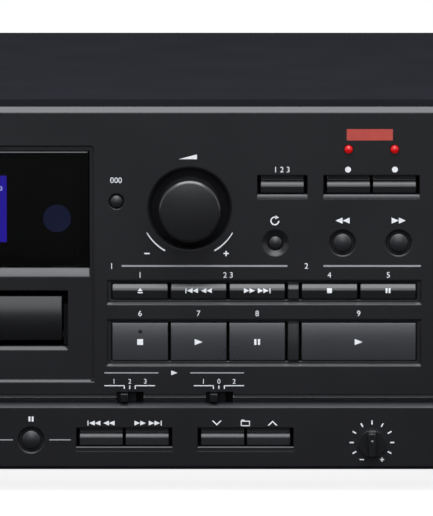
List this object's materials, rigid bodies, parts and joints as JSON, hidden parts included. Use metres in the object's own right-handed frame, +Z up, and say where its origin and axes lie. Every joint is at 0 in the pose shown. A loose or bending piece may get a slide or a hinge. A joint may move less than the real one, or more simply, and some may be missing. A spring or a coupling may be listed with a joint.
{
  "type": "cd cassette deck",
  "caption": "Full-width black hi-fi deck with a disc tray, a cassette door, a display, a level knob, keys for disc and tape, and a lower strip with USB controls.",
  "frame": {"origin": "middle of the footprint, on the floor under the feet", "axes": "+X to the right seen from the front, +Y to the rear, +Z up"},
  "size_m": [0.435, 0.29, 0.145],
  "materials": {
    "panel_plastic": "fine satin moulding",
    "cover_steel": "fine textured paint",
    "zinc_steel": "zinc plated",
    "rubber": "matt",
    "smoked_acrylic": "polished",
    "clear_acrylic": "smoked clear",
    "inner_plastic": "satin",
    "lamp_red": "clear red",
    "board": "solder resist",
    "copper_winding": "varnished",
    "steel": "plain",
    "acetal": "natural",
    "knob_plastic": "satin",
    "key_plastic": "satin"
  },
  "bodies": {
    "cabinet": {"front_panel": "panel_plastic", "chassis_base": "zinc_steel", "rear_panel": "cover_steel", "top_cover": "cover_steel", "feet": "rubber", "case_screws": "cover_steel", "display_window": "smoked_acrylic", "display_module": "inner_plastic", "record_lamps": "lamp_red", "control_boards": "board", "main_board": "board", "power_transformer": "copper_winding", "cd_loader_frame": "inner_plastic", "cd_traverse": "steel", "tape_deck_plate": "zinc_steel", "tape_motor": "steel", "drive_belt": "rubber", "front_sockets": "inner_plastic", "rear_sockets": "inner_plastic"},
    "cassette_door": {"cassette_door": "panel_plastic", "door_window": "clear_acrylic"},
    "cd_tray": {"cd_tray": "inner_plastic"},
    "tray_gear": {"tray_gear": "acetal"},
    "cd_turntable": {"cd_turntable": "inner_plastic"},
    "cd_pickup": {"cd_pickup": "steel"},
    "supply_reel": {"supply_reel": "inner_plastic"},
    "takeup_reel": {"takeup_reel": "inner_plastic"},
    "capstan_flywheel": {"capstan_flywheel": "steel"},
    "head_slide": {"head_slide": "zinc_steel"},
    "pinch_roller": {"pinch_roller": "rubber"},
    "rec_level_knob": {"rec_level_knob": "knob_plastic"},
    "pitch_knob": {"pitch_knob": "knob_plastic"},
    "phones_knob": {"phones_knob": "knob_plastic"},
    "start_source_switch": {"start_source_switch": "inner_plastic"},
    "start_mode_switch": {"start_mode_switch": "inner_plastic"},
    "power_button": {"power_button": "key_plastic"},
    "eject_button": {"eject_button": "key_plastic"},
    "counter_reset_button": {"counter_reset_button": "key_plastic"},
    "source_button": {"source_button": "key_plastic"},
    "usb_record_button": {"usb_record_button": "key_plastic"},
    "tape_record_button": {"tape_record_button": "key_plastic"},
    "repeat_button": {"repeat_button": "key_plastic"},
    "rewind_button": {"rewind_button": "key_plastic"},
    "fast_forward_button": {"fast_forward_button": "key_plastic"},
    "cd_open_button": {"cd_open_button": "key_plastic"},
    "cd_skip_back_button": {"cd_skip_back_button": "key_plastic"},
    "cd_skip_forward_button": {"cd_skip_forward_button": "key_plastic"},
    "tape_stop_button": {"tape_stop_button": "key_plastic"},
    "tape_pause_button": {"tape_pause_button": "key_plastic"},
    "cd_stop_button": {"cd_stop_button": "key_plastic"},
    "cd_play_button": {"cd_play_button": "key_plastic"},
    "cd_pause_button": {"cd_pause_button": "key_plastic"},
    "tape_play_button": {"tape_play_button": "key_plastic"},
    "usb_stop_button": {"usb_stop_button": "key_plastic"},
    "usb_play_button": {"usb_play_button": "key_plastic"},
    "usb_pause_button": {"usb_pause_button": "key_plastic"},
    "usb_skip_back_button": {"usb_skip_back_button": "key_plastic"},
    "usb_skip_forward_button": {"usb_skip_forward_button": "key_plastic"},
    "folder_down_button": {"folder_down_button": "key_plastic"},
    "folder_up_button": {"folder_up_button": "key_plastic"}
  },
  "joints": [
    {"name": "door_hinge", "type": "hinge", "parent": "cabinet", "child": "cassette_door", "pos_m": [-0.151, -0.129, 0.046], "axis": [1, 0, 0], "range_deg": [0, 35]},
    {"name": "tray_slide", "type": "slide", "parent": "cabinet", "child": "cd_tray", "axis": [0, -1, 0], "range_m": [0, 0.135]},
    {"name": "tray_gear_turn", "type": "hinge", "parent": "cabinet", "child": "tray_gear", "pos_m": [0.02, -0.111, 0.054], "axis": [0, 0, 1], "range_deg": [-780, 0]},
    {"name": "turntable_spin", "type": "hinge", "parent": "cabinet", "child": "cd_turntable", "pos_m": [-0.01, -0.0618, 0.054], "axis": [0, 0, 1], "continuous": true},
    {"name": "pickup_slide", "type": "slide", "parent": "cabinet", "child": "cd_pickup", "axis": [0, 1, 0], "range_m": [0, 0.034]},
    {"name": "supply_reel_spin", "type": "hinge", "parent": "cabinet", "child": "supply_reel", "pos_m": [-0.17225, -0.113, 0.0835], "axis": [0, 1, 0], "continuous": true},
    {"name": "takeup_reel_spin", "type": "hinge", "parent": "cabinet", "child": "takeup_reel", "pos_m": [-0.12975, -0.113, 0.0835], "axis": [0, 1, 0], "continuous": true},
    {"name": "capstan_spin", "type": "hinge", "parent": "cabinet", "child": "capstan_flywheel", "pos_m": [-0.134, -0.099, 0.058], "axis": [0, 1, 0], "continuous": true},
    {"name": "head_rise", "type": "slide", "parent": "cabinet", "child": "head_slide", "axis": [0, 0, 1], "range_m": [0, 0.0045], "stiffness_N_per_m": 100},
    {"name": "pinch_spin", "type": "hinge", "parent": "head_slide", "child": "pinch_roller", "pos_m": [-0.134, -0.115, 0.046], "axis": [0, 1, 0], "continuous": true},
    {"name": "level_turn", "type": "hinge", "parent": "cabinet", "child": "rec_level_knob", "pos_m": [0.1018, -0.133, 0.1071], "axis": [0, 1, 0], "continuous": true},
    {"name": "pitch_turn", "type": "hinge", "parent": "cabinet", "child": "pitch_knob", "pos_m": [0.17, -0.138, 0.0191], "axis": [0, 1, 0], "range_deg": [-150, 150]},
    {"name": "phones_turn", "type": "hinge", "parent": "cabinet", "child": "phones_knob", "pos_m": [-0.116, -0.138, 0.0203], "axis": [0, 1, 0], "range_deg": [-150, 150]},
    {"name": "start_source_slide", "type": "slide", "parent": "cabinet", "child": "start_source_switch", "axis": [1, 0, 0], "range_m": [0, 0.0042]},
    {"name": "start_mode_slide", "type": "slide", "parent": "cabinet", "child": "start_mode_switch", "axis": [1, 0, 0], "range_m": [0, 0.0042]},
    {"name": "power_press", "type": "slide", "parent": "cabinet", "child": "power_button", "axis": [0, 1, 0], "range_m": [0, 0.0025], "stiffness_N_per_m": 300},
    {"name": "eject_press", "type": "slide", "parent": "cabinet", "child": "eject_button", "axis": [0, 1, 0], "range_m": [0, 0.0008], "stiffness_N_per_m": 300},
    {"name": "counter_reset_press", "type": "slide", "parent": "cabinet", "child": "counter_reset_button", "axis": [0, 1, 0], "range_m": [0, 0.0008], "stiffness_N_per_m": 300},
    {"name": "source_press", "type": "slide", "parent": "cabinet", "child": "source_button", "axis": [0, 1, 0], "range_m": [0, 0.0008], "stiffness_N_per_m": 300},
    {"name": "usb_record_press", "type": "slide", "parent": "cabinet", "child": "usb_record_button", "axis": [0, 1, 0], "range_m": [0, 0.0008], "stiffness_N_per_m": 300},
    {"name": "tape_record_press", "type": "slide", "parent": "cabinet", "child": "tape_record_button", "axis": [0, 1, 0], "range_m": [0, 0.0008], "stiffness_N_per_m": 300},
    {"name": "repeat_press", "type": "slide", "parent": "cabinet", "child": "repeat_button", "axis": [0, 1, 0], "range_m": [0, 0.0008], "stiffness_N_per_m": 300},
    {"name": "rewind_press", "type": "slide", "parent": "cabinet", "child": "rewind_button", "axis": [0, 1, 0], "range_m": [0, 0.0008], "stiffness_N_per_m": 300},
    {"name": "fast_forward_press", "type": "slide", "parent": "cabinet", "child": "fast_forward_button", "axis": [0, 1, 0], "range_m": [0, 0.0008], "stiffness_N_per_m": 300},
    {"name": "cd_open_press", "type": "slide", "parent": "cabinet", "child": "cd_open_button", "axis": [0, 1, 0], "range_m": [0, 0.0008], "stiffness_N_per_m": 300},
    {"name": "cd_skip_back_press", "type": "slide", "parent": "cabinet", "child": "cd_skip_back_button", "axis": [0, 1, 0], "range_m": [0, 0.0008], "stiffness_N_per_m": 300},
    {"name": "cd_skip_forward_press", "type": "slide", "parent": "cabinet", "child": "cd_skip_forward_button", "axis": [0, 1, 0], "range_m": [0, 0.0008], "stiffness_N_per_m": 300},
    {"name": "tape_stop_press", "type": "slide", "parent": "cabinet", "child": "tape_stop_button", "axis": [0, 1, 0], "range_m": [0, 0.0008], "stiffness_N_per_m": 300},
    {"name": "tape_pause_press", "type": "slide", "parent": "cabinet", "child": "tape_pause_button", "axis": [0, 1, 0], "range_m": [0, 0.0008], "stiffness_N_per_m": 300},
    {"name": "cd_stop_press", "type": "slide", "parent": "cabinet", "child": "cd_stop_button", "axis": [0, 1, 0], "range_m": [0, 0.0008], "stiffness_N_per_m": 300},
    {"name": "cd_play_press", "type": "slide", "parent": "cabinet", "child": "cd_play_button", "axis": [0, 1, 0], "range_m": [0, 0.0008], "stiffness_N_per_m": 300},
    {"name": "cd_pause_press", "type": "slide", "parent": "cabinet", "child": "cd_pause_button", "axis": [0, 1, 0], "range_m": [0, 0.0008], "stiffness_N_per_m": 300},
    {"name": "tape_play_press", "type": "slide", "parent": "cabinet", "child": "tape_play_button", "axis": [0, 1, 0], "range_m": [0, 0.0008], "stiffness_N_per_m": 300},
    {"name": "usb_stop_press", "type": "slide", "parent": "cabinet", "child": "usb_stop_button", "axis": [0, 1, 0], "range_m": [0, 0.0008], "stiffness_N_per_m": 300},
    {"name": "usb_play_press", "type": "slide", "parent": "cabinet", "child": "usb_play_button", "axis": [0, 1, 0], "range_m": [0, 0.0008], "stiffness_N_per_m": 300},
    {"name": "usb_pause_press", "type": "slide", "parent": "cabinet", "child": "usb_pause_button", "axis": [0, 1, 0], "range_m": [0, 0.0008], "stiffness_N_per_m": 300},
    {"name": "usb_skip_back_press", "type": "slide", "parent": "cabinet", "child": "usb_skip_back_button", "axis": [0, 1, 0], "range_m": [0, 0.0008], "stiffness_N_per_m": 300},
    {"name": "usb_skip_forward_press", "type": "slide", "parent": "cabinet", "child": "usb_skip_forward_button", "axis": [0, 1, 0], "range_m": [0, 0.0008], "stiffness_N_per_m": 300},
    {"name": "folder_down_press", "type": "slide", "parent": "cabinet", "child": "folder_down_button", "axis": [0, 1, 0], "range_m": [0, 0.0008], "stiffness_N_per_m": 300},
    {"name": "folder_up_press", "type": "slide", "parent": "cabinet", "child": "folder_up_button", "axis": [0, 1, 0], "range_m": [0, 0.0008], "stiffness_N_per_m": 300}
  ],
  "couplings": [
    {"joint": "tray_gear_turn", "follows": "tray_slide", "rad_per_m": -100}
  ]
}
